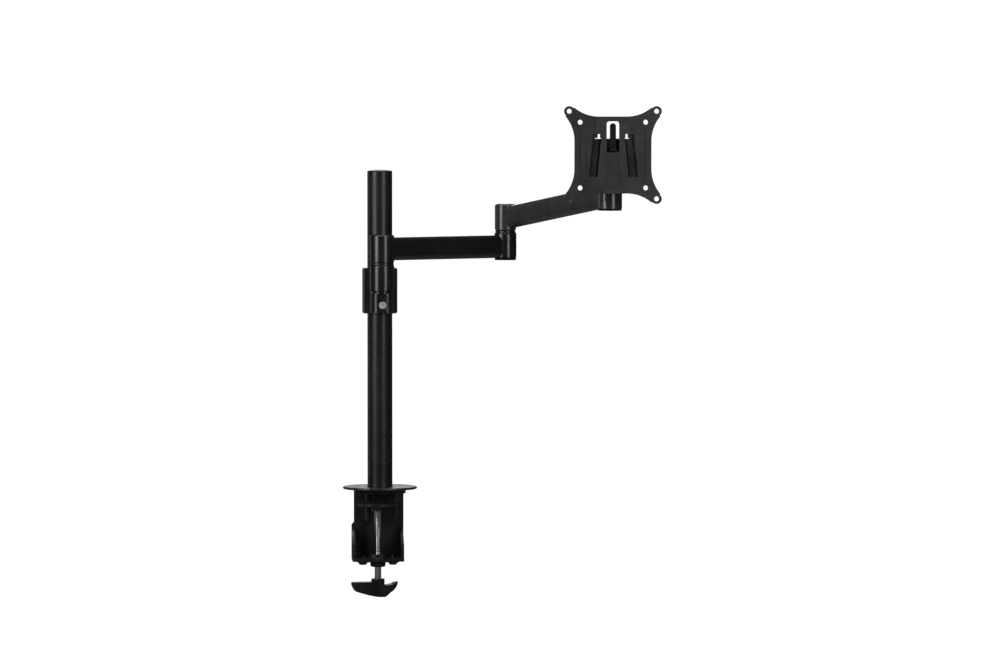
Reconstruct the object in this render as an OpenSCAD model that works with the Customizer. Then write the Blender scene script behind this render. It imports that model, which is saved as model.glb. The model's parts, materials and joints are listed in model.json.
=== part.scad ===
// Single-monitor desk arm: C-clamp, round post, height collar, two-link arm,
// swivel and tilt head, and a quick-release VESA plate.
// Origin: on the post's axis, in the plane where the clamp's top pad meets the desk.
// +Z is up, -Y is the side that the monitor faces, +X is to its right.

/* [Desk flange] */
// Diameter of the round flange under the post
flange_d = 86; // [70:1:110]
// Thickness of the flange
flange_t = 3; // [2.5:0.5:4]

/* [Post] */
// Outer diameter of the post
post_d = 29; // [28.5:0.1:29.5]
// Wall of the post tube
post_wall = 2.5; // [2:0.1:3]
// Length of the post tube
post_len = 365; // [330:5:400]

/* [Clamp] */
// Width of the clamp's upper bracket
upper_w = 58; // [52:1:60]
// Width of the clamp's lower bracket
lower_w = 60; // [58:1:64]
// Thickness of the bracket plates
plate_t = 3.5; // [3:0.5:4]
// Distance from the post's axis back to the bracket's inner face
web_y = 47; // [44:1:56]
// Distance from the post's axis back to the clamp screw
screw_y = 18; // [14:1:18]
// How far the clamp's pad stands below the desk plane
pad_gap = 13.4; // [8:0.2:40]
// Diameter of the pressure pad
pad_d = 48; // [40:1:52]
// Diameter of the clamp screw
screw_d = 8; // [8:0.1:8.1]

// Sideways offset of the lower jaw and the clamp screw from the post's axis
clamp_x = -1.9; // [-3:0.1:3]

/* [Collar] */
// Height of the collar's lower end above the desk plane
collar_z = 208.8; // [120:0.2:260]
// Height of the collar ring
collar_h = 52.6; // [48:0.2:56]
// Outer diameter of the collar ring
collar_d = 40.8; // [40:0.1:44]
// Distance from the post's axis to the shoulder's axis
shoulder_offset = 32; // [31:0.5:36]
// How far the collar is turned on the post
collar_turn = 2.2; // [-10:0.1:10]

/* [Arm links] */
// Length of the lower link, between its axes
lower_link = 180; // [150:1:220]
// Length of the upper link, between its axes, seen from above
upper_link = 180; // [150:1:220]
// Direction of the lower link, turned from +X
lower_turn = 34.5; // [20:0.5:40]
// Direction of the upper link, turned from +X
upper_turn = -51.1; // [-70:0.1:-40]
// How steeply the upper link rises
rise = 9.2; // [6:0.1:12]
// Diameter of the shoulder and collar knuckles
shoulder_d = 28.8; // [28:0.1:29.5]
// Diameter of the knuckles at the elbow and the head
elbow_d = 26; // [25.5:0.1:27]
// Thickness of the oval link tubes
link_t = 15; // [13:0.5:17]
// Height of the oval link tubes
link_h = 27; // [25:0.5:29]

/* [Head] */
// Height of the head's tilt axis, which is the plate's centre
head_z = 393.4; // [388:0.2:400]
// Distance from the head's upright axis to the plate's front face
plate_reach = 48; // [46:1:56]

/* [VESA plate] */
// Larger hole spacing of the plate
vesa_large = 100; // [100:1:100]
// Smaller hole spacing of the plate
vesa_small = 75; // [75:1:75]
// Diameter of the plate's screw holes
vesa_hole = 5.6; // [4.5:0.1:6]
// Width of the plate's body, without its corner ears
plate_w = 88; // [82:1:88]
// Thickness of the plate
plate_depth = 8; // [7:0.5:9]

/* [Hidden] */
$fn = 64;
eps = 0.01;
fit = 0.05;        // radial clearance of a running fit
drop = 4.8;        // height of the flange's underside above the desk plane
pad_t = 1.3;       // thickness of the rubber pad on the upper jaw

// Post
post_r = post_d / 2;
post_z = drop + flange_t;
post_bore = post_r - post_wall;
post_top = post_z + post_len;
cap_lip = 1.2;
cap_dome = 1.6;
insert_h = 24;

// Clamp: brackets, threaded boss, pad and screw
jaw_low = drop - plate_t;
rib_low = -36.4;
rib_at = [-13.5, 19.9];
rib_d = 7.2;
lower_top = -37;
lower_low = -79.9;
floor_top = lower_low + plate_t + 0.5;
upper_front = -26;
lower_front = -6;
bracket_bolt_x = 17;
bracket_bolt_d = 6;
bolt_skin = 0.9;   // metal left between a bracket bolt's tip and the web's front
bolt_rows = [-48, -66];
upper_web_low = -73;
boss_d = 18;
boss_low = -87.4;
boss_bore_r = 6;
boss_plate_t = 2;
boss_screw_x = 17.5;
boss_screw_d = 6;
emboss_r = 12;     // raised ring on the lower jaw around the boss
emboss_top = -72.4;
flange_screw_d = 5;
flange_screw_at = [[-20, -16], [20, -16], [-20, 16], [20, 16]];
screw_at = [clamp_x, screw_y, 0];
rubber_t = 1;
disc_t = 2;
socket_d = 14.6;
disc_top = -pad_gap - rubber_t;
socket_low = disc_top - disc_t - 6;
screw_r = screw_d / 2;
screw_ball = 5;
screw_ball_z = disc_top - 4.2;
knob_hub_top = -101.4;
knob_top = -105;
knob_low = -122.5;
knob_left = 32;
knob_right = 24;
knob_t = 15;
knob_turn = 12;
knob_pin_z = knob_top - 6;
knob_bore_low = knob_low + 6;
// Side view of the knob's two wings, above its lower end
knob_side = [
    [-31.8, 17.5], [-31, 14], [-28, 8.6], [-25, 5.9], [-13, 2.4], [-2, 0.2], [2, 0],
    [7.4, 0], [10, 1.8], [13, 4.8], [17.2, 7.6], [20.6, 11.4], [23, 15.6], [23.6, 17.5],
    [21, 17], [17, 15], [11, 13.8], [7, 14], [5, 17.5]
];

// Collar and shoulder
collar_hub = [0, -shoulder_offset];
hub = shoulder_offset * [sin(collar_turn), -cos(collar_turn)];
bush_wall = 1.3;
bush_r = post_r + fit + bush_wall;
collar_top = collar_z + collar_h;
knuckle_low = 234.8;
knuckle_top = 265.7;
foot_d = 26.8;
foot_corner = 10.5;
foot_top = 233.2;
foot_low = 210.7;
foot_front = -shoulder_offset - foot_d / 2;
height_screw_z = 219.6;
grub_z = 228.8;
brake_half = 3.4;
brake_back = bush_r + 6;
counterbore = 4.4;
grub_d = 5;
pin_r = 5;
joint_gap = 2.5;
shoulder_z = knuckle_top + joint_gap;
pin_low = foot_low + 13;
shoulder_h = 32;
lower_mid = shoulder_z + shoulder_h / 2;

// Elbow and head knuckles
elbow_h = 31;
elbow_z = shoulder_z + shoulder_h + joint_gap;
elbow = [hub[0] + lower_link * cos(lower_turn), hub[1] + lower_link * sin(lower_turn)];
head = [elbow[0] + upper_link * cos(upper_turn), elbow[1] + upper_link * sin(upper_turn)];
elbow_mid = 317.2;
head_mid = elbow_mid + upper_link * tan(rise);
head_low = head_mid - 17.4;
head_h = 34.8;
head_top = head_low + head_h;
head_r = elbow_d / 2 + 0.9;
head_cap_t = 1.6;
head_screw_r = 3;
elbow_r = elbow_d / 2;
shoulder_r = shoulder_d / 2;
bush_t = 1;
cap_t = 2.4;
link_wall = 2.5;
cap_seat = 9.6;    // radius of the caps that close the knuckles' tops
pin_sink = 1.5;    // how far a pin's head lies under its cap
shoulder_pin_top = shoulder_z + shoulder_h - cap_t - pin_sink;
elbow_pin_top = elbow_z + elbow_h - cap_t - pin_sink;

// Head: yoke, tilt block and roll pivot, measured forward from the head's axis
yoke_r = 13;
yoke_base = head_top + joint_gap;
cheek_t = 4;
cheek_in = 9.4;
cheek_r = 11;
tilt_half = 8;
tilt_r = 9.5;
tilt_bolt_r = 3;
neck_r = 7.5;
roll_face = 20;
roll_flange_r = 17;
roll_flange_t = 4;
roll_bolt_r = 4;
wedge_back = roll_face + roll_flange_t + 1.5;
wedge_t = plate_reach - wedge_back - 4;
wedge_top_half = 19.5;
wedge_low_half = 25;
wedge_up = 18.6;
wedge_down = 36;
plate_front = plate_reach;
plate_back = plate_reach - plate_depth;
rail_back = wedge_back + 1.2;
slot_w = 14.4;
slot_up = 38.5;
slot_corner = 3;
slot_down = 3;
tongue_w = 7;
tongue_up = 36.4;
tongue_t = 2;
tongue_end = slot_down + 0.25;
tongue_root = slot_down + 2.25;
window_in = 14.5;   // the two openings above the wedge
window_out = 17.2;
window_bar = 19.4;  // lower edge of the bars beside those openings
bar_t = 3;
front_t = 4;       // thickness of the plate's front wall
ear_r = 5.9;
flank_r = 44;      // radius of the concave flanks
side_flat = 16;    // half the straight stretch in the middle of each side
channel_w = 11;    // slanted channels that show the wedge's flanks
channel_out = 5;   // from the wedge's flank to a channel's outer edge
channel_up = 24;
channel_down = 25;
wedge_corner = 2;
flank_w = 1.6;     // slanted grooves in the wedge's face
bolt_sink = 4.6;   // how deep the roll bolt's head lies in the wedge
panel_up = 0.5;     // smooth recessed panel below the tongue
panel_down = 34;
panel_top_half = 5.7;
panel_low_half = 8.9;
groove_w = 0.9;
groove_deep = 0.8;
// Shallow grooves in the plate's face: centre x, centre y, width, height
face_grooves = [
    [0, 36.4, 66, groove_w], [-33, 13, 12, groove_w], [33, 13, 12, groove_w],
    [-33, -15.6, 12, groove_w], [33, -15.6, 12, groove_w], [-21.4, 34.5, groove_w, 17],
    [21.4, 31, groove_w, 10], [36.6, 0, groove_w, 60], [-38.3, 0, groove_w, 56],
    [-31, -4, groove_w, 26], [0, -37, 48, groove_w]
];

// ---------- shared shapes ----------

// A round body with a chamfer at each end
module knuckle(r, low, high, chamfer = 1) {
    translate([0, 0, low])
        rotate_extrude()
            polygon([
                [0, 0], [r - chamfer, 0], [r, chamfer], [r, high - low - chamfer],
                [r - chamfer, high - low], [0, high - low]
            ]);
}

// An upright block w wide and deep with round edges
module round_block(w, low, high, r) {
    translate([0, 0, low])
        linear_extrude(high - low)
            union() {
                square([w, w - 2 * r], center = true);
                square([w - 2 * r, w], center = true);
                for (x = [-1, 1], y = [-1, 1])
                    translate([x * (w / 2 - r), y * (w / 2 - r)]) circle(r);
            }
}

// A drilled hole along Z
module hole(r, low, high) {
    translate([0, 0, low]) cylinder(r = r, h = high - low);
}

// A socket-head screw whose head lies above z = 0 and whose shank points down
module socket_screw(d, len, head_d, head_h, key) {
    difference() {
        union() {
            translate([0, 0, -len]) cylinder(d = d, h = len);
            cylinder(d = head_d, h = head_h);
        }
        translate([0, 0, head_h * 0.4]) cylinder(d = key, h = head_h, $fn = 6);
    }
}

// A countersunk screw whose face lies at z = 0 and whose shank points up
module countersunk_screw(d, len, key) {
    difference() {
        union() {
            cylinder(d = d, h = len);
            cylinder(d1 = 2 * d, d2 = d, h = d / 2);
        }
        translate([0, 0, -eps]) cylinder(d = key, h = d * 0.4, $fn = 6);
    }
}

// A button-head screw whose head lies under z = 0 and whose shank points up
module button_screw(d, len, head_d, head_h, key) {
    difference() {
        union() {
            cylinder(d = d, h = len);
            translate([0, 0, -head_h]) cylinder(d1 = head_d * 0.6, d2 = head_d, h = head_h);
        }
        translate([0, 0, -head_h - eps]) cylinder(d = key, h = head_h * 0.6, $fn = 6);
    }
}

// A washer lying on z = low
module washer(inner, outer, low, h) {
    difference() {
        translate([0, 0, low]) cylinder(r = outer, h = h);
        hole(inner, low - 1, low + h + 1);
    }
}

// A flat outline w wide with its two upper corners rounded
module round_top(w, low, high, r) {
    translate([-w / 2, low]) square([w, high - low - r]);
    translate([-w / 2 + r, low]) square([w - 2 * r, high - low]);
    for (side = [-1, 1])
        translate([side * (w / 2 - r), high - r]) circle(r);
}

// The section of a link tube: an upright flat oval, t thick and h high
module link_oval(t, h) {
    for (side = [-1, 1])
        translate([side * (h - t) / 2, 0]) circle(d = t);
    square([h - t, t], center = true);
}

// A straight oval bar from x = start to x = end at height mid
module link_bar(start, end, mid, t, h) {
    translate([start, 0, mid])
        rotate([0, 90, 0])
            linear_extrude(end - start)
                link_oval(t, h);
}

// A straight oval tube, hollow between its knuckles
module link_tube(len, mid, h) {
    difference() {
        link_bar(2, len - 2, mid, link_t, h);
        link_bar(18, len - 18, mid, link_t - 2 * link_wall, h - 2 * link_wall);
    }
}

// Turns a piece from pointing up to pointing forward, at the head's tilt height
module forward(depth) {
    translate([head[0], head[1] - depth, head_z]) rotate([90, 0, 0]) children();
}

// ---------- post and flange ----------

module base_flange() {
    color("#1d1e20")
        difference() {
            translate([0, 0, drop])
                rotate_extrude()
                    union() {
                        square([flange_d / 2 - flange_t / 2, flange_t]);
                        translate([flange_d / 2 - flange_t / 2, flange_t / 2])
                            circle(d = flange_t);
                    }
            hole(4.2, drop - 1, post_z + 1);
            for (at = flange_screw_at)
                translate(at) hole(flange_screw_d / 2 + fit, drop - 1, post_z + 1);
        }
}

module post_tube() {
    color("#191a1c")
        difference() {
            hole(post_r, post_z, post_top);
            hole(post_bore, post_z - 1, post_top + 1);
        }
}

module post_top_cap() {
    color("#232426")
        translate([0, 0, post_top])
            rotate_extrude()
                polygon([
                    [0, -12], [post_bore - 1, -12], [post_bore, -11], [post_bore, 0],
                    [post_r, 0], [post_r, cap_lip * 0.5], [post_r - 0.6, cap_lip],
                    [post_r * 0.62, cap_lip + cap_dome * 0.75], [0, cap_lip + cap_dome]
                ]);
}

module post_insert() {
    color("#8d8f92")
        difference() {
            hole(post_bore, post_z, post_z + insert_h);
            hole(4, post_z - 1, post_z + insert_h + 1);
        }
}

module base_bolt() {
    color("#9a9c9f")
        translate([0, 0, jaw_low])
            countersunk_screw(8, plate_t + flange_t + 20, 5);
}

module flange_screws() {
    color("#9a9c9f")
        for (at = flange_screw_at)
            translate([at[0], at[1], jaw_low])
                countersunk_screw(flange_screw_d, plate_t + flange_t, 3);
}

// ---------- C-clamp ----------

// One row of bores for the bracket bolts, from y = start over the length len
module bracket_bolt_holes(start, len) {
    for (side = [-1, 1], z = bolt_rows)
        translate([side * bracket_bolt_x, start, z])
            rotate([-90, 0, 0]) cylinder(d = bracket_bolt_d + 2 * fit, h = len);
}

module upper_bracket() {
    color("#222325")
        difference() {
            union() {
                // jaw plate under the flange
                translate([-upper_w / 2, upper_front, jaw_low])
                    cube([upper_w, web_y - upper_front + plate_t, plate_t]);
                // web at the back
                translate([-upper_w / 2, web_y, upper_web_low])
                    cube([upper_w, plate_t, drop - upper_web_low]);
                // two pressed ribs down the web
                for (x = rib_at)
                    translate([x, web_y + 1.2, rib_low])
                        cylinder(d = rib_d, h = jaw_low - rib_low - 5);
            }
            translate([clamp_x, 0, 0]) bracket_bolt_holes(web_y - 1, plate_t + 2);
            for (at = flange_screw_at)
                translate([at[0], at[1], jaw_low])
                    union() {
                        hole(flange_screw_d / 2 + fit, -1, plate_t + 1);
                        cylinder(
                            d1 = 2 * flange_screw_d + 2 * fit,
                            d2 = flange_screw_d,
                            h = flange_screw_d / 2
                        );
                    }
            hole(4.2, jaw_low - 1, drop + 1);
            translate([0, 0, jaw_low]) cylinder(d1 = 16.1, d2 = 8, h = 4);
        }
}

module desk_pad() {
    color("#2c2c2d")
        translate([-upper_w / 2 + 2, upper_front + 2, 0])
            cube([upper_w - 4, web_y - upper_front - 5, pad_t]);
}

// Triangular cheek at one side of the lower jaw
module jaw_cheek() {
    rotate([90, 0, 90])
        linear_extrude(plate_t, center = true)
            polygon([
                [lower_front + 6, lower_low], [web_y, lower_low],
                [web_y, lower_top - 6], [web_y - 7, lower_top - 6],
                [lower_front + 6, lower_low + 19]
            ]);
}

module lower_bracket() {
    color("#202123")
        translate([clamp_x, 0, 0])
            difference() {
                union() {
                    translate([0, web_y, 0])
                        rotate([90, 0, 0])
                            linear_extrude(plate_t)
                                round_top(lower_w, lower_low, lower_top, 4.5);
                    translate([-lower_w / 2, lower_front, lower_low])
                        cube([lower_w, web_y - lower_front, floor_top - lower_low]);
                    for (side = [-1, 1])
                        translate([side * (lower_w / 2 - plate_t / 2), 0, 0]) jaw_cheek();
                    translate([0, screw_y, 0]) hole(emboss_r, lower_low, emboss_top);
                }
                translate([0, screw_y, 0]) hole(boss_bore_r, lower_low - 1, emboss_top + 1);
                for (side = [-1, 1])
                    translate([side * boss_screw_x, screw_y, 0])
                        hole(boss_screw_d / 2 + fit, lower_low - 1, floor_top + 1);
                bracket_bolt_holes(web_y - plate_t + bolt_skin, plate_t);
            }
}

module bracket_bolts() {
    color("#3a3b3d")
        for (side = [-1, 1], z = bolt_rows)
            translate([clamp_x + side * bracket_bolt_x, web_y + plate_t, z])
                rotate([-90, 0, 0])
                    socket_screw(bracket_bolt_d, 2 * plate_t - bolt_skin - 0.1, 11, 3.4, 4);
}

// Flanged boss under the lower jaw that carries the clamp screw's thread
module threaded_boss() {
    color("#2a2b2d")
        translate(screw_at)
            difference() {
                union() {
                    knuckle(boss_d / 2, boss_low, lower_low, 1.5);
                    hole(boss_bore_r - fit, lower_low - 1, emboss_top);
                    translate([-boss_screw_x - 7, -8, lower_low - boss_plate_t])
                        cube([2 * boss_screw_x + 14, 16, boss_plate_t]);
                }
                hole(screw_r + fit, boss_low - 1, emboss_top + 1);
                for (side = [-1, 1])
                    translate([side * boss_screw_x, 0, 0])
                        hole(boss_screw_d / 2 + fit, lower_low - boss_plate_t - 1, lower_low + 1);
            }
}

module boss_screws() {
    color("#4a4b4d")
        for (side = [-1, 1])
            translate(screw_at + [side * boss_screw_x, 0, lower_low - boss_plate_t])
                button_screw(boss_screw_d, boss_plate_t + plate_t + 2.5, 12.4, 3.2, 4);
}

// ---------- pressure pad and clamp screw ----------

module pressure_rubber() {
    color("#242425")
        translate(screw_at) hole((pad_d - 1) / 2, disc_top, disc_top + rubber_t);
}

module pressure_disc() {
    color("#1f2022")
        translate(screw_at)
            difference() {
                union() {
                    translate([0, 0, disc_top - disc_t])
                        rotate_extrude()
                            union() {
                                square([pad_d / 2 - disc_t / 2, disc_t]);
                                translate([pad_d / 2 - disc_t / 2, disc_t / 2]) circle(d = disc_t);
                            }
                    hole(socket_d / 2, socket_low, disc_top - 1);
                }
                hole(screw_ball + fit, socket_low - 1, disc_top - 2.2);
            }
}

module pad_retainer() {
    color("#b0b2b4")
        translate(screw_at)
            washer(screw_r + fit, screw_ball + fit, socket_low, 1.2);
}

// A bore or a pin across the knob and the screw in it
module knob_cross(r, len) {
    translate([0, 0, knob_pin_z])
        rotate([0, 90, knob_turn]) cylinder(r = r, h = len, center = true);
}

module clamp_screw() {
    color("#d4d6d8")
        translate(screw_at)
            difference() {
                union() {
                    hole(screw_ball, socket_low + 1.2 + fit, screw_ball_z + 1.9);
                    hole(screw_r, knob_bore_low, socket_low + 1.3);
                }
                knob_cross(1.5, 20);
            }
}

// The knob seen from above: a bar with round ends
module knob_plan() {
    end_r = knob_t / 2;
    translate([-knob_left + end_r, -end_r]) square([knob_left + knob_right - knob_t, knob_t]);
    translate([-knob_left + end_r, 0]) circle(end_r);
    translate([knob_right - end_r, 0]) circle(end_r);
}

module clamp_knob() {
    color("#1c1d1e")
        translate(screw_at)
            difference() {
                union() {
                    hole(7.8, knob_top - 8, knob_hub_top);
                    rotate([0, 0, knob_turn])
                        intersection() {
                            translate([0, 0, knob_low])
                                rotate([90, 0, 0])
                                    linear_extrude(knob_t, center = true) polygon(knob_side);
                            translate([0, 0, knob_low])
                                linear_extrude(knob_top - knob_low) knob_plan();
                        }
                }
                hole(screw_r, knob_bore_low, knob_hub_top + 1);
                knob_cross(1.5, 20);
            }
}

module knob_pin() {
    color("#8f9193")
        translate(screw_at)
            difference() {
                knob_cross(1.5, 14);
                knob_cross(0.5, 16);
            }
}

// ---------- collar ----------

module collar_bushes() {
    color("#3b3b3c")
        for (span = [[collar_z + 0.8, 215.6], [223.8, collar_top - 0.8]])
            difference() {
                hole(bush_r, span[0], span[1]);
                hole(post_r + fit, span[0] - 1, span[1] + 1);
            }
}

module collar_body() {
    color("#1b1c1e")
        rotate([0, 0, collar_turn])
            difference() {
                union() {
                    knuckle(collar_d / 2, collar_z, collar_top, 1.2);
                    translate(collar_hub) knuckle(shoulder_r, knuckle_low, knuckle_top, 1);
                    translate(collar_hub) round_block(foot_d, foot_low, foot_top, foot_corner);
                    translate(collar_hub) hole(foot_d / 2 - 2, foot_top - 2, knuckle_low + 2);
                    translate([-10.5, -shoulder_offset, foot_low + 1])
                        cube([21, shoulder_offset - 12, collar_top - foot_low - 2.5]);
                }
                hole(bush_r + fit, collar_z - 1, collar_top + 1);
                translate(collar_hub) hole(pin_r, pin_low, knuckle_top + 1);
                // screw that locks the height, and its counterbore
                translate([0, foot_front - 1, height_screw_z])
                    rotate([-90, 0, 0])
                        union() {
                            cylinder(d = 6, h = 40);
                            cylinder(d = 9.2, h = counterbore);
                        }
                // grub screw that holds the shoulder's pin
                translate([0, foot_front - 1, grub_z])
                    rotate([-90, 0, 0]) cylinder(d = grub_d, h = 12);
                // pocket of the brake shoe
                translate([0, -brake_back - 1, height_screw_z])
                    rotate([-90, 0, 0]) cylinder(r = brake_half, h = 9);
            }
}

module brake_shoe() {
    color("#b99a4e")
        rotate([0, 0, collar_turn])
            difference() {
                translate([0, -brake_back, height_screw_z])
                    rotate([-90, 0, 0]) cylinder(r = brake_half, h = 8);
                hole(post_r + fit, height_screw_z - 9, height_screw_z + 9);
            }
}

module height_screw() {
    color("#d9dadc")
        rotate([0, 0, collar_turn])
            translate([0, foot_front + counterbore - 1, height_screw_z])
                rotate([90, 0, 0])
                    socket_screw(6, -brake_back - foot_front - counterbore + 1, 8.4, 4, 5);
}

module pivot_grub_screw() {
    color("#8b8d90")
        rotate([0, 0, collar_turn])
            difference() {
                translate([0, foot_front + 0.4, grub_z])
                    rotate([-90, 0, 0]) cylinder(d = grub_d, h = foot_d / 2 - pin_r - 0.4);
                translate([0, foot_front, grub_z])
                    rotate([-90, 0, 0]) cylinder(d = grub_d / 2, h = 3, $fn = 6);
            }
}

// Pin with a head that stands in the shoulder knuckle
module pivot_pin(low, high, r = pin_r, head_r = 8, head_h = 3) {
    difference() {
        union() {
            hole(r, low, high);
            hole(head_r, high - head_h, high);
        }
        translate([0, 0, high - 2]) cylinder(d = 6, h = 3, $fn = 6);
    }
}

module shoulder_pin() {
    color("#a5a7aa")
        translate(hub) pivot_pin(pin_low, shoulder_pin_top);
}

module shoulder_washer() {
    color("#c9cbcd")
        translate(hub) washer(pin_r + fit, shoulder_r - 0.5, knuckle_top, joint_gap - 0.2);
}

// ---------- lower link ----------

// Stepped bore of a knuckle: bushes at both ends and a head pocket on top
module pivot_bore(low, high, head_pocket = true) {
    hole(pin_r + bush_t + fit, low - 1, high + 1);
    if (head_pocket) hole(8.6, high - cap_t - 4.8, high + 1);
    if (head_pocket) hole(cap_seat, high - cap_t, high + 1);
}

module lower_link_body() {
    color("#1a1b1d")
        difference() {
            union() {
                translate(hub) knuckle(shoulder_r, shoulder_z, shoulder_z + shoulder_h);
                translate(elbow) knuckle(elbow_r, shoulder_z + cap_t, shoulder_z + shoulder_h);
                translate(hub)
                    rotate([0, 0, lower_turn])
                        link_tube(lower_link, lower_mid, link_h);
            }
            translate(hub) pivot_bore(shoulder_z, shoulder_z + shoulder_h);
            translate(elbow) hole(pin_r, shoulder_z + cap_t + 3, shoulder_z + shoulder_h + 1);
        }
}

// Two flanged plastic bushes in a knuckle's bore
module pivot_bushes(low, high) {
    for (span = [[low, low + 9], [high - 9, high]])
        washer(pin_r + fit, pin_r + bush_t + fit, span[0], span[1] - span[0]);
}

module shoulder_bushes() {
    color("#d8d6cc")
        translate(hub) pivot_bushes(shoulder_z, shoulder_z + shoulder_h - cap_t - 5);
}

module shoulder_cap() {
    color("#202123")
        translate(hub)
            hole(cap_seat, shoulder_z + shoulder_h - cap_t, shoulder_z + shoulder_h + 0.4);
}

module elbow_bottom_cap() {
    color("#131415")
        translate(elbow) knuckle(elbow_r - 0.2, shoulder_z, shoulder_z + cap_t, 0.8);
}

module elbow_pin() {
    color("#a5a7aa")
        translate(elbow) pivot_pin(shoulder_z + cap_t + 3, elbow_pin_top);
}

module elbow_washer() {
    color("#c9cbcd")
        translate(elbow) washer(pin_r + fit, elbow_r - 1.1, elbow_z - joint_gap, joint_gap - 0.2);
}

// ---------- upper link ----------

module upper_link_body() {
    color("#242527")
        difference() {
            union() {
                translate(elbow) knuckle(elbow_r - 0.6, elbow_z, elbow_z + elbow_h, 1.2);
                translate(head) knuckle(head_r, head_low + head_cap_t, head_top, 1);
                translate([elbow[0], elbow[1], elbow_mid])
                    rotate([0, 0, upper_turn])
                        rotate([0, -rise, 0])
                            link_tube(upper_link / cos(rise), 0, link_h - 0.5);
            }
            translate(elbow) pivot_bore(elbow_z, elbow_z + elbow_h);
            translate(head) hole(pin_r + bush_t + fit, head_low - 1, head_top + 1);
            translate(head) hole(9, head_low - 1, head_low + 6);
        }
}

module head_bottom_cap() {
    color("#1a1b1c")
        translate(head)
            difference() {
                union() {
                    knuckle(head_r, head_low, head_low + head_cap_t, 0.6);
                    hole(9, head_low + 0.6, head_low + 2.4);
                }
                hole(head_screw_r + 0.4, head_low - 1, head_low + 4);
            }
}

module elbow_bushes() {
    color("#d8d6cc")
        translate(elbow) pivot_bushes(elbow_z, elbow_z + elbow_h - cap_t - 5);
}

module elbow_top_cap() {
    color("#202123")
        translate(elbow)
            hole(cap_seat, elbow_z + elbow_h - cap_t, elbow_z + elbow_h + 0.4);
}

module head_bushes() {
    color("#d8d6cc")
        translate(head) pivot_bushes(head_low + 6, head_top);
}

module head_washer() {
    color("#c9cbcd")
        translate(head) washer(pin_r + fit, elbow_r - 1.1, head_top, joint_gap - 0.2);
}

// ---------- head ----------

// Fork that turns on the upper link and holds the tilt block
module head_yoke() {
    color("#1f2022")
        translate([head[0], head[1], 0])
            difference() {
                union() {
                    knuckle(yoke_r, yoke_base, yoke_base + 6, 1);
                    hole(pin_r, head_low + 4.8, yoke_base + 1);
                    for (side = [-1, 1])
                        translate([side * (cheek_in + cheek_t / 2), 0, 0])
                            rotate([90, 0, 90])
                                linear_extrude(cheek_t, center = true)
                                    union() {
                                        translate([0, head_z]) circle(cheek_r);
                                        translate([-7, yoke_base + 1])
                                            square([14, head_z - yoke_base]);
                                    }
                    translate([-cheek_in - cheek_t, -7, yoke_base + 1])
                        cube([2 * (cheek_in + cheek_t), 14, 5]);
                }
                translate([0, 0, head_z])
                    rotate([0, 90, 0]) cylinder(r = tilt_bolt_r, h = 60, center = true);
                hole(2, head_low + 4, head_low + 17);
            }
}

module head_retaining_washer() {
    color("#c9cbcd")
        translate(head) washer(2, 8, head_low + 2.8, 2);
}

module head_retaining_screw() {
    color("#c4c6c8")
        translate([head[0], head[1], head_low])
            difference() {
                union() {
                    hole(2, 2, 17);
                    hole(head_screw_r, -0.3, 2.8);
                }
                translate([0, 0, -1]) cylinder(d = 3, h = 2.4, $fn = 6);
            }
}

module tilt_block() {
    color("#26272a")
        difference() {
            union() {
                translate([head[0], head[1], head_z])
                    rotate([0, 90, 0]) cylinder(r = tilt_r, h = 2 * tilt_half, center = true);
                forward(0) cylinder(r = neck_r, h = roll_face + 1);
                forward(roll_face) cylinder(r = roll_flange_r, h = roll_flange_t);
            }
            translate([head[0], head[1], head_z])
                rotate([0, 90, 0]) cylinder(r = tilt_bolt_r + fit, h = 60, center = true);
            forward(roll_face - 13) cylinder(r = roll_bolt_r, h = 30);
        }
}

module tilt_washers() {
    color("#c9cbcd")
        for (side = [-1, 1])
            translate([head[0] + side * (tilt_half + 0.6), head[1], head_z])
                rotate([0, 90, 0])
                    difference() {
                        cylinder(r = 9, h = 1.1, center = true);
                        cylinder(r = tilt_bolt_r + fit, h = 3, center = true);
                    }
}

module tilt_bolt() {
    color("#3c3d3f")
        translate([head[0] + cheek_in + cheek_t, head[1], head_z])
            rotate([0, 90, 0])
                socket_screw(2 * tilt_bolt_r, 2 * (cheek_in + cheek_t) + 7, 10, 5, 5);
}

module tilt_nut() {
    color("#8b8d90")
        translate([head[0] - cheek_in - cheek_t, head[1], head_z])
            rotate([0, -90, 0])
                difference() {
                    cylinder(d = 11.5, h = 6, $fn = 6);
                    translate([0, 0, -1]) cylinder(r = tilt_bolt_r, h = 9);
                }
}

module roll_washer() {
    color("#d8d6cc")
        forward(roll_face + roll_flange_t)
            difference() {
                cylinder(r = 14, h = 1.3);
                translate([0, 0, -1]) cylinder(r = roll_bolt_r + fit, h = 4);
            }
}

// The outline of the release wedge, widened on each side by grow, its upper corners cut off
module wedge_outline(grow, up, down, corner = 0) {
    top = wedge_half(up) + grow;
    low = wedge_half(-down) + grow;
    polygon([
        [-top + corner, up], [top - corner, up], [top, up - corner], [low, -down], [-low, -down],
        [-top, up - corner]
    ]);
}

module release_wedge() {
    color("#18191b")
        forward(wedge_back)
            difference() {
                union() {
                    linear_extrude(wedge_t) wedge_outline(0, wedge_up, wedge_down, wedge_corner);
                    translate([0, 0, wedge_t / 2])
                        linear_extrude(wedge_t / 2)
                            wedge_outline(2.4, wedge_up, wedge_down, wedge_corner);
                }
                translate([0, 0, -1]) cylinder(r = roll_bolt_r + fit, h = wedge_t + 2);
                translate([0, 0, wedge_t - bolt_sink]) cylinder(r = 7.4, h = 6);
                // deep recess behind the latch tongue
                translate([-slot_w / 2, 8.4, 4]) cube([slot_w, wedge_up, wedge_t]);
                translate([-slot_w / 2, 2, wedge_t - bolt_sink]) cube([slot_w, 8, wedge_t]);
                for (side = [-1, 1])
                    translate([0, 0, wedge_t - 3]) linear_extrude(4) flank_groove(side);
            }
}

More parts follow.
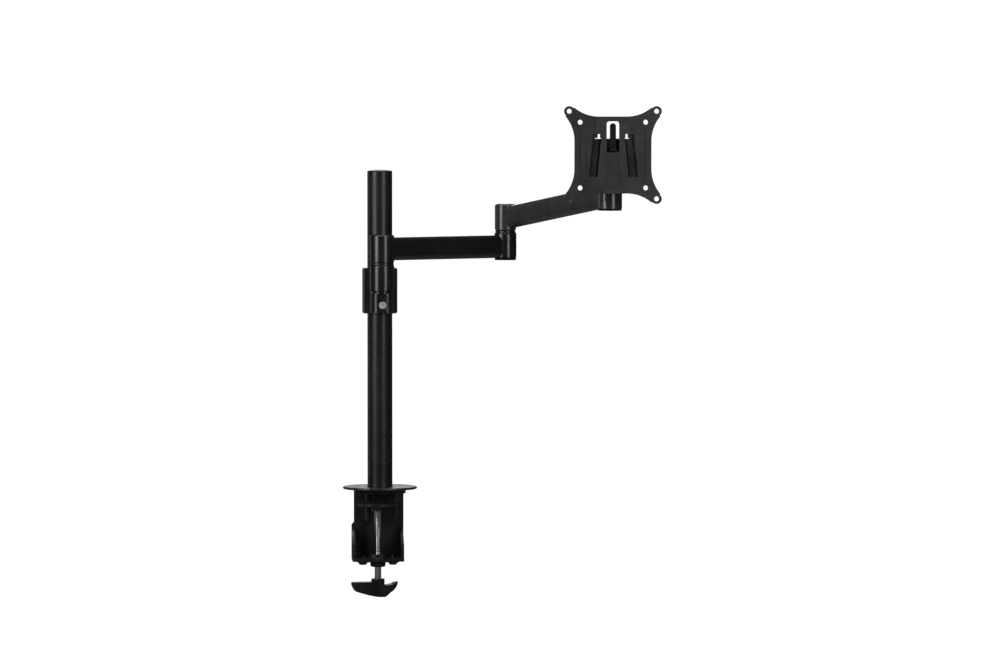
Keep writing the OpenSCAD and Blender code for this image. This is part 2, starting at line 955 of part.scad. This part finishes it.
module roll_bolt() {
    color("#9fa1a4")
        forward(wedge_back + wedge_t - bolt_sink + 0.1)
            socket_screw(2 * roll_bolt_r, wedge_t - bolt_sink + 1.6 + roll_flange_t + 12, 14, 4, 5);
}

// ---------- VESA plate ----------

// Face outline: concave flanks run out to four round ears
module plate_outline() {
    difference() {
        intersection() {
            square(vesa_large + 8, center = true);
            rotate(45) square(vesa_large * sqrt(2), center = true);
        }
        for (turn = [0 : 90 : 270])
            rotate(turn) {
                translate([-side_flat, plate_w / 2]) square([2 * side_flat, plate_w]);
                for (side = [-1, 1])
                    translate([side * side_flat, plate_w / 2 + flank_r]) circle(flank_r);
            }
    }
    for (x = [-1, 1], y = [-1, 1])
        translate([x * vesa_large / 2, y * vesa_large / 2]) circle(ear_r);
}

// Half the wedge's width at height y above the tilt axis
function wedge_half(y) =
    wedge_top_half + (wedge_up - y) * (wedge_low_half - wedge_top_half) / (wedge_up + wedge_down);

// A slanted strip beside the wedge's flank, right side = 1, left side = -1
module slanted_strip(side, inner, outer, up, down) {
    polygon([
        [side * (wedge_half(up) + outer), up], [side * (wedge_half(up) + inner), up],
        [side * (wedge_half(-down) + inner), -down], [side * (wedge_half(-down) + outer), -down]
    ]);
}

// The opening in the plate's face over one flank of the wedge
module channel(side) {
    slanted_strip(side, channel_out - channel_w, channel_out, channel_up, channel_down);
}

// The groove in the wedge's face along the channel's inner edge
module flank_groove(side) {
    slanted_strip(
        side,
        channel_out - channel_w - 0.4,
        channel_out - channel_w + flank_w,
        wedge_up + 1,
        channel_down
    );
}

module vesa_plate() {
    color("#1e1f21")
        forward(plate_back)
            difference() {
                union() {
                    translate([0, 0, plate_depth - front_t])
                        linear_extrude(front_t) plate_outline();
                    // rim behind the front wall
                    translate([0, 0, plate_depth - front_t - 2])
                        linear_extrude(3)
                            difference() {
                                square(plate_w - 4, center = true);
                                square(plate_w - 9, center = true);
                            }
                    // side rails that hold the wedge
                    translate([0, 0, rail_back - plate_back])
                        linear_extrude(plate_front - rail_back - 1)
                            difference() {
                                wedge_outline(9, wedge_up + 8, wedge_down - 1);
                                wedge_outline(0.5, wedge_up + 12, wedge_down + 2);
                            }
                    // bars that narrow the openings above the wedge
                    for (side = [-1, 1], span = [[11, window_in], [window_out, 28]])
                        translate([
                            side * (span[0] + span[1]) / 2 - (span[1] - span[0]) / 2,
                            window_bar,
                            plate_depth - front_t - bar_t
                        ])
                            cube([span[1] - span[0], 27 - window_bar, bar_t + 0.5]);
                }
                // pocket in which the wedge's wider front part slides
                translate([0, 0, wedge_back + wedge_t / 2 - 0.4 - plate_back])
                    linear_extrude(wedge_t / 2 + 0.8)
                        wedge_outline(2.9, wedge_up + 0.6, wedge_down + 30);
                for (spacing = [vesa_small, vesa_large], x = [-1, 1], y = [-1, 1])
                    translate([x * spacing / 2, y * spacing / 2, -6])
                        cylinder(d = vesa_hole, h = 24);
                // U-shaped slot around the latch tongue
                translate([0, 0, -3])
                    linear_extrude(16) round_top(slot_w, slot_down, slot_up, slot_corner);
                // channels over the wedge's flanks
                for (side = [-1, 1])
                    translate([0, 0, plate_depth - front_t - 0.4])
                        linear_extrude(front_t + 2) channel(side);
                // smooth panel below the tongue
                translate([0, 0, plate_depth - 0.8])
                    linear_extrude(2)
                        polygon([
                            [-panel_top_half, panel_up], [panel_top_half, panel_up],
                            [panel_low_half, -panel_down], [-panel_low_half, -panel_down]
                        ]);
                for (g = face_grooves)
                    translate([g[0] - g[2] / 2, g[1] - g[3] / 2, plate_depth - groove_deep])
                        cube([g[2], g[3], 2]);
            }
}

module latch_tongue() {
    color("#232426")
        forward(plate_front - 1 - tongue_t)
            union() {
                linear_extrude(tongue_t)
                    round_top(tongue_w, tongue_end, tongue_up, tongue_w / 2 - eps);
                translate([-tongue_w / 2, tongue_root, tongue_t / 2])
                    rotate([0, 90, 0]) cylinder(r = 2, h = tongue_w);
            }
}

base_flange();
post_tube();
post_top_cap();
post_insert();
base_bolt();
flange_screws();
upper_bracket();
lower_bracket();
bracket_bolts();
desk_pad();
threaded_boss();
boss_screws();
pressure_disc();
pressure_rubber();
pad_retainer();
clamp_screw();
clamp_knob();
knob_pin();
collar_bushes();
collar_body();
brake_shoe();
height_screw();
pivot_grub_screw();
shoulder_pin();
shoulder_washer();
lower_link_body();
shoulder_bushes();
shoulder_cap();
elbow_bottom_cap();
elbow_pin();
elbow_washer();
upper_link_body();
elbow_bushes();
elbow_top_cap();
head_bushes();
head_washer();
head_yoke();
head_bottom_cap();
head_retaining_washer();
head_retaining_screw();
tilt_block();
tilt_washers();
tilt_bolt();
tilt_nut();
roll_washer();
release_wedge();
roll_bolt();
vesa_plate();
latch_tongue();
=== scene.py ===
"""Looks of the desk-clamped monitor arm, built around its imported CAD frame.

The CAD nodes keep their places. They get rounded edges and painted, plastic, rubber and metal
finishes. Only the clamp screw is modelled here, with a real thread, and it stands for its CAD node.
"""

import json
import math

import bmesh
import bpy
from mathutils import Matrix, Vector


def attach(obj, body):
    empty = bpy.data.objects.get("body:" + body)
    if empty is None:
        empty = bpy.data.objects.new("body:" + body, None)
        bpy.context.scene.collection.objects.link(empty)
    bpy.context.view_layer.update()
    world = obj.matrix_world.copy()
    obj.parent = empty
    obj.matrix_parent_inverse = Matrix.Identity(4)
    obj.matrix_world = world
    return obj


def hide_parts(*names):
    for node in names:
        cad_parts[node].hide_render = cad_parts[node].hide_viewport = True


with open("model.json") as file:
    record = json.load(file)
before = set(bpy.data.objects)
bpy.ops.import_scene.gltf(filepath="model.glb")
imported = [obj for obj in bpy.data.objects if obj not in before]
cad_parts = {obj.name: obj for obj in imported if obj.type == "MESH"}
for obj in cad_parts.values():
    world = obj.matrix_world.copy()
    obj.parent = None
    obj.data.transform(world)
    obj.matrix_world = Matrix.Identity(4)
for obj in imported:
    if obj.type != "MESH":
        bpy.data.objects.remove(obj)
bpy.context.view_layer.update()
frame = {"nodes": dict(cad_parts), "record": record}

MM = 0.001
WHITE = (1.0, 1.0, 1.0, 1.0)

# Camera: a long lens far away, 3 degrees to the left, looking 2.4 degrees down at the middle
CAMERA_TARGET = Vector((0.1392, -0.0073, 0.1852))
CAMERA_DISTANCE = 7.0
CAMERA_AZIMUTH = -3.0
CAMERA_PITCH = 2.4
CAMERA_LENS = 217.2
CAMERA_SENSOR = 36.0
CAMERA_NEAR, CAMERA_FAR = 0.1, 60.0

# Studio
FLOOR_DEPTH = 0.6          # how far the floor lies below the desk plane
FLOOR_RADIUS = 2.2
FLOOR_GLOW = 0.85          # added for the camera only
FLOOR_DARK = (0.30, 0.30, 0.30, 1.0)
FLOOR_LIGHT = (0.34, 0.34, 0.34, 1.0)
MIDDLE_X = 0.13            # the lights and the floor stand around this x
ROOM_LIGHT = 0.05          # what the dark room around the lights gives
BACKDROP_LIGHT = 1.05      # how bright the room looks to the camera


# ---------- shader helpers ----------

def add_node(tree, kind, values=None, **settings):
    """A shader node with its settings and its inputs' values."""
    made = tree.nodes.new(kind)
    for key, value in settings.items():
        setattr(made, key, value)
    for key, value in (values or {}).items():
        made.inputs[key].default_value = value
    return made


def link(tree, source, target):
    tree.links.new(source, target)


def new_material(name):
    """A material with its Principled shader and the object's own coordinates."""
    material = bpy.data.materials.new(name)
    material.use_nodes = True
    tree = material.node_tree
    shader = tree.nodes["Principled BSDF"]
    place = add_node(tree, "ShaderNodeTexCoord").outputs["Object"]
    return material, tree, shader, place


def noise(tree, place, scale, detail=3.0, stretch=None):
    """A noise value; scale counts features per metre, and stretch squeezes it along an axis."""
    if stretch:
        mapping = add_node(tree, "ShaderNodeMapping", {"Scale": stretch})
        link(tree, place, mapping.inputs["Vector"])
        place = mapping.outputs["Vector"]
    made = add_node(tree, "ShaderNodeTexNoise", {"Scale": scale, "Detail": detail})
    link(tree, place, made.inputs["Vector"])
    return made.outputs["Fac"]


def spread(tree, value, low, high, start=0.3, stop=0.7):
    """Maps a noise value onto the span from low to high."""
    made = add_node(tree, "ShaderNodeMapRange",
                    {"From Min": start, "From Max": stop, "To Min": low, "To Max": high})
    link(tree, value, made.inputs["Value"])
    return made.outputs["Result"]


def multiply(tree, one, other):
    made = add_node(tree, "ShaderNodeMath", operation="MULTIPLY")
    for socket, value in zip(made.inputs, (one, other)):
        link(tree, value, socket)
    return made.outputs["Value"]


def blend_colours(tree, factor, first, second):
    """Mixes two colours, or a socket and a colour, by a factor."""
    made = add_node(tree, "ShaderNodeMix", data_type="RGBA")
    link(tree, factor, made.inputs[0])
    for socket, value in zip(made.inputs[6:8], (first, second)):
        if isinstance(value, (tuple, list)):
            socket.default_value = value
        else:
            link(tree, value, socket)
    return made.outputs[2]


def edge_mask(tree, radius):
    """1 on sharp edges and 0 on flat faces."""
    rounded = add_node(tree, "ShaderNodeBevel", {"Radius": radius}, samples=4)
    flat = add_node(tree, "ShaderNodeNewGeometry")
    dot = add_node(tree, "ShaderNodeVectorMath", operation="DOT_PRODUCT")
    link(tree, rounded.outputs["Normal"], dot.inputs[0])
    link(tree, flat.outputs["Normal"], dot.inputs[1])
    return spread(tree, dot.outputs["Value"], 1.0, 0.0, 0.80, 0.98)


def bump(tree, shader, height, distance):
    made = add_node(tree, "ShaderNodeBump", {"Strength": 1.0, "Distance": distance})
    link(tree, height, made.inputs["Height"])
    link(tree, made.outputs["Normal"], shader.inputs["Normal"])


def rgba(colour, gain=1.0):
    return tuple(c * gain for c in colour) + (1.0,)


# ---------- finishes ----------

WEAR_RADIUS = 0.5 * MM                      # how far wear reaches from an edge
WORN_COLOUR = (0.09, 0.09, 0.095, 1.0)


def satin_paint(name, colour, roughness, gloss, peel=12e-6, peel_scale=700, mottle=0.25, wear=0.5):
    """Black paint or powder coat: orange peel, patches of gloss and colour, and worn edges."""
    material, tree, shader, place = new_material(name)
    patches = noise(tree, place, 45.0, 4.0)
    speckle = noise(tree, place, 420.0, 2.0)
    tone = spread(tree, patches, 0.0, 1.0)
    base = blend_colours(tree, tone, rgba(colour, 1 - mottle), rgba(colour, 1 + mottle))
    worn = multiply(tree, edge_mask(tree, WEAR_RADIUS), spread(tree, speckle, 0.0, wear, 0.45, 0.75))
    base = blend_colours(tree, worn, base, WORN_COLOUR)
    link(tree, base, shader.inputs["Base Color"])
    rough = spread(tree, patches, roughness * 0.86, roughness * 1.16)
    link(tree, rough, shader.inputs["Roughness"])
    shader.inputs["Specular IOR Level"].default_value = gloss
    bump(tree, shader, noise(tree, place, peel_scale, 2.0), peel)
    return material


def moulded_plastic(name, colour, roughness, grain=9e-6, grain_scale=1900, gloss=0.5):
    """Moulded nylon or acetal with a fine spark-eroded grain."""
    material, tree, shader, place = new_material(name)
    patches = noise(tree, place, 60.0, 3.0)
    tone = spread(tree, patches, 0.0, 1.0)
    base = blend_colours(tree, tone, rgba(colour, 0.85), rgba(colour, 1.15))
    link(tree, base, shader.inputs["Base Color"])
    link(tree, spread(tree, patches, roughness * 0.88, roughness * 1.12), shader.inputs["Roughness"])
    shader.inputs["Specular IOR Level"].default_value = gloss
    bump(tree, shader, noise(tree, place, grain_scale, 3.0), grain)
    return material


def turned_metal(name, colour, roughness, lines=(1.0, 1.0, 30.0), depth=2e-6):
    """Bare or plated metal with the fine rings that turning leaves."""
    material, tree, shader, place = new_material(name)
    rings = noise(tree, place, 260.0, 3.0, lines)
    stain = noise(tree, place, 120.0, 3.0)
    tone = spread(tree, stain, 0.0, 1.0)
    base = blend_colours(tree, tone, rgba(colour, 0.86), rgba(colour, 1.0))
    link(tree, base, shader.inputs["Base Color"])
    link(tree, spread(tree, rings, roughness * 0.7, roughness * 1.4), shader.inputs["Roughness"])
    shader.inputs["Metallic"].default_value = 1.0
    bump(tree, shader, rings, depth)
    return material


def rubber(name, colour):
    """Matte rubber with a fine dusty grain."""
    material, tree, shader, place = new_material(name)
    dust = noise(tree, place, 300.0, 5.0)
    tone = spread(tree, dust, 0.0, 1.0)
    base = blend_colours(tree, tone, rgba(colour, 0.8), rgba(colour, 1.5))
    link(tree, base, shader.inputs["Base Color"])
    link(tree, spread(tree, dust, 0.72, 0.92), shader.inputs["Roughness"])
    bump(tree, shader, noise(tree, place, 2600.0, 3.0), 14e-6)
    return material


def make_finishes():
    """One material for each material slot of the record."""
    return {
        "flange_paint": satin_paint("flange_paint", (0.0090, 0.0090, 0.0095), 0.30, 0.45),
        "post_paint": satin_paint("post_paint", (0.0070, 0.0070, 0.0076), 0.34, 0.34),
        "bracket_paint": satin_paint("bracket_paint", (0.0080, 0.0080, 0.0082), 0.34, 0.35),
        "cast_paint": satin_paint("cast_paint", (0.0070, 0.0070, 0.0074), 0.22, 0.55),
        "link_paint": satin_paint("link_paint", (0.0068, 0.0068, 0.0070), 0.24, 0.52),
        "upper_link_paint": satin_paint("upper_link_paint", (0.0310, 0.0310, 0.0318), 0.25, 0.50),
        "plate_black": satin_paint("plate_black", (0.0110, 0.0110, 0.0114), 0.46, 0.45, 30e-6, 520, 0.4),
        "black_washer": moulded_plastic("black_washer", (0.0080, 0.0080, 0.0084), 0.26, 3e-6),
        "black_plastic": moulded_plastic("black_plastic", (0.0035, 0.0035, 0.0036), 0.34, 4e-6, gloss=0.22),
        "bush_plastic": moulded_plastic("bush_plastic", (0.62, 0.61, 0.56), 0.45),
        "black_rubber": rubber("black_rubber", (0.010, 0.010, 0.010)),
        "thread_steel": turned_metal("thread_steel", (0.78, 0.79, 0.82), 0.12),
        "bright_zinc": turned_metal("bright_zinc", (0.80, 0.81, 0.83), 0.38),
        "zinc_steel": turned_metal("zinc_steel", (0.62, 0.63, 0.65), 0.30),
        "black_steel": turned_metal("black_steel", (0.06, 0.06, 0.064), 0.34),
        "brass": turned_metal("brass", (0.66, 0.50, 0.22), 0.28),
    }


# ---------- edges of the CAD nodes ----------

def smooth_by_angle(limit):
    """A modifier group that merges doubled points and shades smooth, except across sharp edges."""
    group = bpy.data.node_groups.new("smooth_by_angle", "GeometryNodeTree")
    group.interface.new_socket("Geometry", in_out="INPUT", socket_type="NodeSocketGeometry")
    group.interface.new_socket("Geometry", in_out="OUTPUT", socket_type="NodeSocketGeometry")
    start = add_node(group, "NodeGroupInput").outputs[0]
    plain = add_node(group, "GeometryNodeRemoveAttribute", {"Name": "custom_normal"})
    merge = add_node(group, "GeometryNodeMergeByDistance", {"Distance": MERGE_DISTANCE})
    faces = add_node(group, "GeometryNodeSetShadeSmooth", {"Shade Smooth": True}, domain="FACE")
    edges = add_node(group, "GeometryNodeSetShadeSmooth", {"Shade Smooth": False}, domain="EDGE")
    angle = add_node(group, "GeometryNodeInputMeshEdgeAngle").outputs["Unsigned Angle"]
    sharp = add_node(group, "FunctionNodeCompare", data_type="FLOAT", operation="GREATER_THAN")
    sharp.inputs["B"].default_value = limit
    link(group, angle, sharp.inputs["A"])
    link(group, sharp.outputs["Result"], edges.inputs["Selection"])
    for step in (plain, merge, faces, edges):
        link(group, start, step.inputs["Geometry"])
        start = step.outputs["Geometry"]
    end = add_node(group, "NodeGroupOutput")
    link(group, start, end.inputs[0])
    return group


# Widths of the rounded edges in millimetres, for most nodes and for those that differ
EDGE_WIDTH = 0.3
EDGE_WIDTHS = {"clamp_knob": 1.6, "vesa_plate": 0.25, "release_wedge": 0.4}
WIDE_EDGE = 1 * MM                  # from this width on an edge is rounded in more steps
SMOOTH_ANGLE = math.radians(32)     # edges sharper than this stay sharp in the shading
BEVEL_ANGLE = math.radians(38)      # edges sharper than this are rounded
MERGE_DISTANCE = 0.002 * MM


def soften(obj, group, width):
    """Smooth shading, and rounded edges of that width."""
    smooth = obj.modifiers.new("smooth", "NODES")
    smooth.node_group = group
    bevel = obj.modifiers.new("rounded_edges", "BEVEL")
    bevel.width = width
    bevel.segments = 2 if width < WIDE_EDGE else 4
    bevel.limit_method = "ANGLE"
    bevel.angle_limit = BEVEL_ANGLE
    bevel.harden_normals = True


# ---------- clamp screw ----------

SCREW_X, SCREW_Y = -1.9 * MM, 18 * MM
THREAD_LOW, THREAD_HIGH = -116.0 * MM, -23.0 * MM
THREAD_PITCH = 1.25 * MM
THREAD_SIDES = 32
TURNED_SIDES = 48
NECK_RADIUS, HEAD_RADIUS = 3.4 * MM, 4.9 * MM
# Radius and height of the plain neck above the thread and of the round head in the pad
NECK_PROFILE = ((NECK_RADIUS, -24.6 * MM), (NECK_RADIUS, -21.0 * MM), (HEAD_RADIUS, -20.8 * MM),
                (HEAD_RADIUS, -17.6 * MM), (NECK_RADIUS, -17.0 * MM))
# One turn of the thread's profile: height as a share of the pitch, and radius
THREAD_PROFILE = ((0.0, 4.0 * MM), (0.44, 4.0 * MM), (0.66, 3.62 * MM), (0.78, 3.62 * MM))


def helix_point(step, row):
    """A point of the thread's surface: step counts around, row counts along the profile."""
    turn, place = divmod(row, len(THREAD_PROFILE))
    share, radius = THREAD_PROFILE[place]
    angle = 2 * math.pi * step / THREAD_SIDES
    height = THREAD_LOW + THREAD_PITCH * (turn + share + step / THREAD_SIDES)
    return (radius * math.cos(angle), radius * math.sin(angle), height)


def add_thread(shape):
    """A solid helical thread."""
    per_turn = len(THREAD_PROFILE)
    rows = per_turn * int((THREAD_HIGH - THREAD_LOW) / THREAD_PITCH)
    grid = {(step, row): shape.verts.new(helix_point(step, row))
            for step in range(THREAD_SIDES) for row in range(rows + per_turn)}

    def corner(step, row):
        """A full turn ends on the point one profile higher."""
        return grid[(0, row + per_turn)] if step == THREAD_SIDES else grid[(step, row)]

    for row in range(rows - 1):
        for step in range(THREAD_SIDES):
            shape.faces.new([corner(step, row), corner(step + 1, row),
                             corner(step + 1, row + 1), corner(step, row + 1)])
    for row, turned in ((0, True), (rows - 1, False)):
        loop = [corner(step, row) for step in range(THREAD_SIDES + 1)]
        loop += [corner(0, row + back) for back in range(per_turn - 1, 0, -1)]
        centre = shape.verts.new((0, 0, helix_point(THREAD_SIDES // 2, row)[2]))
        for one, other in zip(loop, loop[1:] + loop[:1]):
            shape.faces.new([centre, other, one] if turned else [centre, one, other])
    loose = [vert for vert in shape.verts if not vert.link_faces]
    bmesh.ops.delete(shape, geom=loose, context="VERTS")


def add_turned(shape, profile):
    """A solid of revolution about Z from (radius, height) points, closed at both ends."""
    turns = [2 * math.pi * step / TURNED_SIDES for step in range(TURNED_SIDES)]
    rings = [[shape.verts.new((radius * math.cos(turn), radius * math.sin(turn), height))
              for turn in turns] for radius, height in profile]
    for low, high in zip(rings, rings[1:]):
        for step in range(TURNED_SIDES):
            after = (step + 1) % TURNED_SIDES
            shape.faces.new([low[step], low[after], high[after], high[step]])
    shape.faces.new(rings[0][::-1])
    shape.faces.new(rings[-1])


def make_clamp_screw(finishes, group):
    """The clamp screw with its thread, its plain neck under the pad and its round head."""
    mesh = bpy.data.meshes.new("threaded_screw")
    shape = bmesh.new()
    add_thread(shape)
    add_turned(shape, NECK_PROFILE)
    bmesh.ops.recalc_face_normals(shape, faces=shape.faces)
    shape.to_mesh(mesh)
    shape.free()
    screw = bpy.data.objects.new("threaded_screw", mesh)
    screw.location = (SCREW_X, SCREW_Y, 0)
    mesh.materials.append(finishes["thread_steel"])
    bpy.context.scene.collection.objects.link(screw)
    smooth = screw.modifiers.new("smooth", "NODES")
    smooth.node_group = group
    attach(screw, "screw_and_knob")
    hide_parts("clamp_screw")


# ---------- studio ----------

def make_camera():
    data = bpy.data.cameras.new("camera")
    data.lens = CAMERA_LENS
    data.sensor_width = CAMERA_SENSOR
    data.clip_start = CAMERA_NEAR
    data.clip_end = CAMERA_FAR
    camera = bpy.data.objects.new("camera", data)
    turn, pitch = math.radians(CAMERA_AZIMUTH), math.radians(CAMERA_PITCH)
    back = Vector((math.sin(turn) * math.cos(pitch), -math.cos(turn) * math.cos(pitch), math.sin(pitch)))
    camera.location = CAMERA_TARGET + back * CAMERA_DISTANCE
    camera.rotation_euler = back.to_track_quat("Z", "Y").to_euler()
    bpy.context.scene.collection.objects.link(camera)
    bpy.context.scene.camera = camera


def area_light(name, place, aim, width, tall, radiance):
    """A rectangular light at a place, facing a point, as bright as that radiance."""
    data = bpy.data.lights.new(name, "AREA")
    data.shape = "RECTANGLE"
    data.size = width
    data.size_y = tall
    data.energy = 4 * width * tall * radiance
    light = bpy.data.objects.new(name, data)
    light.location = place
    light.rotation_euler = (place - aim).to_track_quat("Z", "Y").to_euler()
    light.visible_camera = False
    bpy.context.scene.collection.objects.link(light)


def softbox(name, azimuth, distance, low, high, width, radiance):
    """An upright softbox; azimuth counts from the camera, to its left."""
    turn = math.radians(CAMERA_AZIMUTH - azimuth)
    aim = Vector((MIDDLE_X, 0.0, (low + high) / 2))
    place = aim + Vector((math.sin(turn), -math.cos(turn), 0)) * distance
    area_light(name, place, aim, width, high - low, radiance)


def make_lights():
    softbox("key_left", azimuth=50, distance=2.0, low=0.20, high=1.9, width=0.70, radiance=7.2)
    softbox("key_right", azimuth=-34, distance=2.0, low=0.20, high=1.9, width=0.55, radiance=6.2)
    softbox("fill_low", azimuth=38, distance=2.6, low=-0.9, high=0.3, width=0.8, radiance=0.22)
    softbox("rim_left", azimuth=128, distance=2.4, low=-0.6, high=1.4, width=0.45, radiance=0.6)
    softbox("back", azimuth=176, distance=2.4, low=0.6, high=2.0, width=0.9, radiance=2.2)
    area_light("top", place=Vector((MIDDLE_X, 0, 2.3)), aim=Vector((MIDDLE_X, 0, 0)),
               width=1.8, tall=1.8, radiance=1.4)


def make_world():
    """White to the camera, and a dim room to everything else."""
    world = bpy.data.worlds.new("studio")
    world.use_nodes = True
    tree = world.node_tree
    tree.nodes.clear()
    white = add_node(tree, "ShaderNodeBackground", {"Color": WHITE, "Strength": BACKDROP_LIGHT})
    room = add_node(tree, "ShaderNodeBackground", {"Color": WHITE, "Strength": ROOM_LIGHT})
    seen = add_node(tree, "ShaderNodeLightPath").outputs["Is Camera Ray"]
    mix = add_node(tree, "ShaderNodeMixShader")
    link(tree, seen, mix.inputs["Fac"])
    link(tree, room.outputs["Background"], mix.inputs[1])
    link(tree, white.outputs["Background"], mix.inputs[2])
    link(tree, mix.outputs["Shader"], add_node(tree, "ShaderNodeOutputWorld").inputs["Surface"])
    bpy.context.scene.world = world


def make_floor():
    """A plain pale round floor, well below the desk plane, that glows softly like a lit studio table."""
    mesh = bpy.data.meshes.new("floor")
    shape = bmesh.new()
    bmesh.ops.create_circle(shape, cap_ends=True, segments=128, radius=FLOOR_RADIUS)
    shape.to_mesh(mesh)
    shape.free()
    floor = bpy.data.objects.new("floor", mesh)
    floor.location = (MIDDLE_X, 0.0, -FLOOR_DEPTH)
    material, tree, shader, place = new_material("floor")
    tone = spread(tree, noise(tree, place, 3.0), 0.0, 1.0)
    link(tree, blend_colours(tree, tone, FLOOR_DARK, FLOOR_LIGHT), shader.inputs["Base Color"])
    shader.inputs["Roughness"].default_value = 0.9
    shader.inputs["Emission Color"].default_value = WHITE
    glow = add_node(tree, "ShaderNodeMath", {1: FLOOR_GLOW}, operation="MULTIPLY")
    link(tree, add_node(tree, "ShaderNodeLightPath").outputs["Is Camera Ray"], glow.inputs[0])
    link(tree, glow.outputs["Value"], shader.inputs["Emission Strength"])
    mesh.materials.append(material)
    bpy.context.scene.collection.objects.link(floor)


# ---------- the whole ----------

def dress_cad_nodes(finishes, group):
    """Gives every CAD node its finish and its rounded edges."""
    slots = {part["node"]: part["material_slot"] for part in frame["record"]["subparts"]}
    for name, obj in frame["nodes"].items():
        for slot in obj.material_slots:
            slot.material = finishes[slots[name]]
        soften(obj, group, EDGE_WIDTHS.get(name, EDGE_WIDTH) * MM)


def main():
    bpy.context.scene.view_settings.view_transform = "Standard"
    finishes = make_finishes()
    group = smooth_by_angle(SMOOTH_ANGLE)
    dress_cad_nodes(finishes, group)
    make_clamp_screw(finishes, group)
    make_world()
    make_floor()
    make_lights()
    make_camera()


main()
